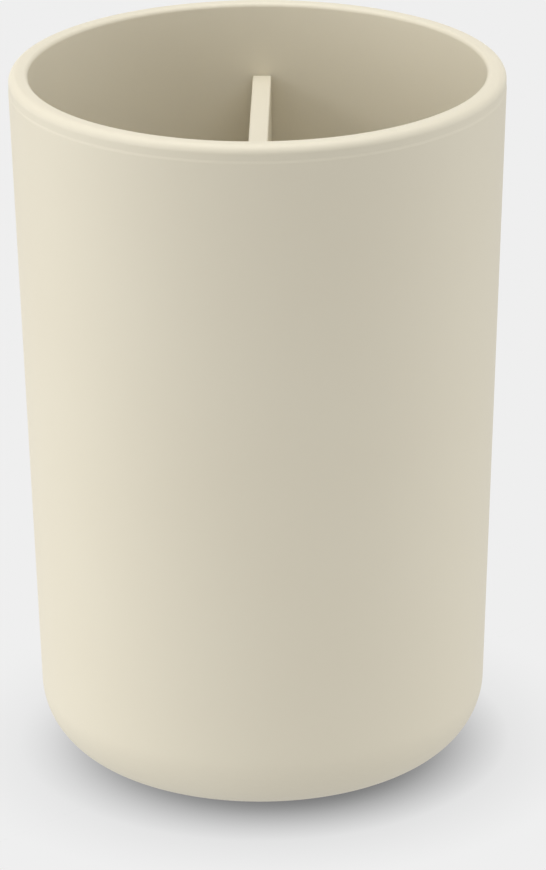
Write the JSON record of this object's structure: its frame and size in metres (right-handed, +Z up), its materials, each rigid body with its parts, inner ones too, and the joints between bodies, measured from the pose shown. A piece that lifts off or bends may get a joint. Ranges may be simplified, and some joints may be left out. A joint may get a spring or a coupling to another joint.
{
  "type": "toothbrush holder",
  "caption": "Round tapered bathroom tumbler with a rounded base and an upright divider plate that lifts out, to hold toothbrushes and toothpaste apart; stands on a soft non-slip ring.",
  "frame": {"origin": "on the cup's axis, in the plane that the non-slip ring stands on", "axes": "+Z up along the cup's axis, +Y along the divider, +X from one compartment to the other"},
  "size_m": [0.0749, 0.075, 0.1095],
  "materials": {
    "cup_body": "moulded, fine matt grain",
    "divider": "moulded, fine matt grain",
    "non_slip_ring": "moulded soft elastomer, matt"
  },
  "bodies": {
    "cup": {"cup_body": "cup_body", "non_slip_ring": "non_slip_ring"},
    "divider": {"divider": "divider"}
  },
  "joints": [
    {"name": "divider_lift", "type": "slide", "parent": "cup", "child": "divider", "axis": [0, 0, 1], "range_m": [0, 0.11]}
  ]
}
